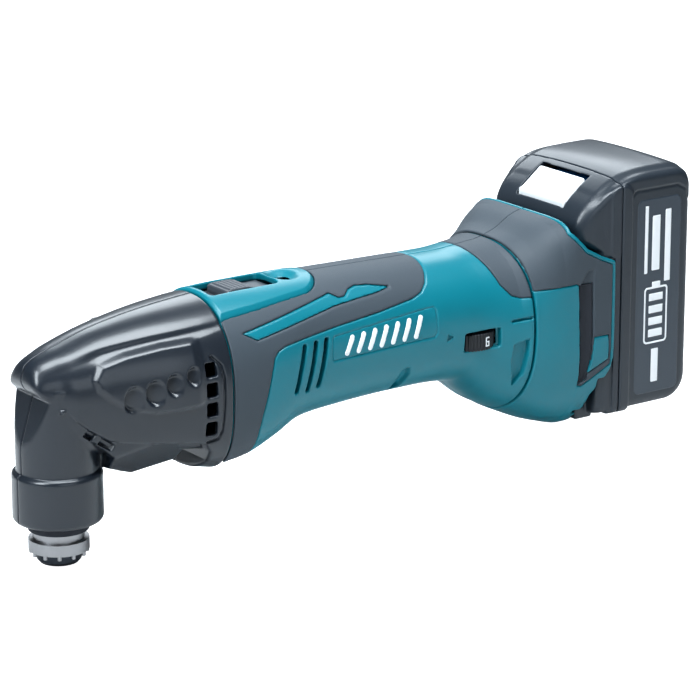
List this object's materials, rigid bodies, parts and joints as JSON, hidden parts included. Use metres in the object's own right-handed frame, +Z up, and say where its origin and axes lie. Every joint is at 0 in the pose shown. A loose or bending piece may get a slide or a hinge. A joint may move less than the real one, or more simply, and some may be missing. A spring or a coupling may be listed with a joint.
{
  "type": "cordless oscillating multi-tool",
  "caption": "Cordless oscillating multi-tool: right-angle head with clamp spindle, motor in a straight grip, top slide switch, side speed dial and slide-on rear battery.",
  "frame": {"origin": "centre of the accessory seat on the spindle axis", "axes": "+Z up the spindle axis, +X back along the tool to the battery, -Y the side with the speed dial"},
  "size_m": [0.3374, 0.0766, 0.1375],
  "materials": {
    "head_plastic": "glossy moulded",
    "screw_steel": "satin",
    "cast_aluminium": "cast",
    "spindle_steel": "satin ground",
    "bearing_steel": "polished",
    "seal_rubber": "matt",
    "forged_steel": "ground",
    "dark_steel": "black oxide",
    "clear_lens": "clear",
    "circuit_board": "solder mask",
    "brass_weight": "machined",
    "motor_steel": "zinc plated",
    "copper_wire": "enamelled",
    "copper_bars": "turned",
    "black_nylon": "moulded",
    "magnet_black": "sintered",
    "carbon": "pressed carbon",
    "spring_steel": "bright",
    "teal_plastic": "fine moulded satin",
    "grip_rubber": "soft matt",
    "switch_plastic": "ribbed",
    "wire_insulation": "extruded",
    "terminal_brass": "plated",
    "battery_plastic": "fine moulded",
    "cell_wrap": "shrink film",
    "holder_plastic": "moulded",
    "nickel": "rolled",
    "label_print": "printed film",
    "button_plastic": "moulded"
  },
  "bodies": {
    "tool": {"head_cover_right": "head_plastic", "head_cover_left": "head_plastic", "head_screws": "screw_steel", "gear_case": "cast_aluminium", "spindle_bearing_lower": "bearing_steel", "spindle_bearing_upper": "bearing_steel", "seal_ring": "seal_rubber", "led_lens": "clear_lens", "led_board": "circuit_board", "motor_can": "motor_steel", "magnets": "magnet_black", "front_bearing": "bearing_steel", "rear_bearing": "bearing_steel", "brush_holder": "black_nylon", "carbon_brushes": "carbon", "brush_springs": "spring_steel", "motor_housing_right": "teal_plastic", "motor_housing_left": "teal_plastic", "grip_right": "grip_rubber", "grip_left": "grip_rubber", "switch_bezel": "teal_plastic", "switch_body": "black_nylon", "dial_board": "circuit_board", "badge_plates": "teal_plastic", "housing_screws": "screw_steel", "wiring": "wire_insulation", "controller_board": "circuit_board", "rear_housing_right": "teal_plastic", "rear_housing_left": "teal_plastic", "rear_grip_right": "grip_rubber", "rear_grip_left": "grip_rubber", "terminal_block": "black_nylon", "terminal_blades": "terminal_brass"},
    "spindle": {"spindle": "spindle_steel", "swing_fork": "forged_steel"},
    "clamp_washer": {"clamp_washer": "dark_steel"},
    "clamp_bolt": {"clamp_bolt": "dark_steel"},
    "rotor": {"eccentric_shaft": "forged_steel", "eccentric_bearing": "bearing_steel", "balance_weight": "brass_weight", "motor_shaft": "forged_steel", "armature_core": "motor_steel", "armature_windings": "copper_wire", "commutator": "copper_bars", "cooling_fan": "black_nylon"},
    "switch": {"switch_slider": "switch_plastic", "switch_rod": "black_nylon"},
    "dial": {"speed_dial": "switch_plastic"},
    "battery": {"battery_cover": "battery_plastic", "battery_case": "battery_plastic", "battery_cells": "cell_wrap", "cell_holders": "holder_plastic", "cell_straps": "nickel", "battery_board": "circuit_board", "battery_contacts": "terminal_brass", "battery_label": "label_print", "battery_screws": "screw_steel", "latch_spring": "spring_steel"},
    "latch": {"latch_button": "button_plastic"}
  },
  "joints": [
    {"name": "spindle_swing", "type": "hinge", "parent": "tool", "child": "spindle", "pos_m": [0, 0, 0], "axis": [0, 0, 1], "range_deg": [-1.6, 1.6]},
    {"name": "washer_slide", "type": "slide", "parent": "spindle", "child": "clamp_washer", "axis": [0, 0, -1], "range_m": [0, 0.004]},
    {"name": "bolt_turn", "type": "hinge", "parent": "clamp_washer", "child": "clamp_bolt", "pos_m": [0, 0, 0], "axis": [0, 0, -1], "range_deg": [0, 1440]},
    {"name": "motor_spin", "type": "hinge", "parent": "tool", "child": "rotor", "pos_m": [0.08, 0, 0.07], "axis": [1, 0, 0], "continuous": true},
    {"name": "switch_slide", "type": "slide", "parent": "tool", "child": "switch", "axis": [-1, 0, 0], "range_m": [0, 0.008]},
    {"name": "dial_turn", "type": "hinge", "parent": "tool", "child": "dial", "pos_m": [0.202, -0.0196, 0.0635], "axis": [0, 0, 1], "range_deg": [-250, 0]},
    {"name": "battery_slide", "type": "slide", "parent": "tool", "child": "battery", "axis": [0, 0, 1], "range_m": [0, 0.11]},
    {"name": "latch_press", "type": "slide", "parent": "battery", "child": "latch", "axis": [1, 0, 0], "range_m": [0, 0.0035], "deforming": ["latch_spring"]}
  ],
  "couplings": [
    {"joint": "bolt_turn", "follows": "washer_slide", "rad_per_m": 6283.2}
  ]
}
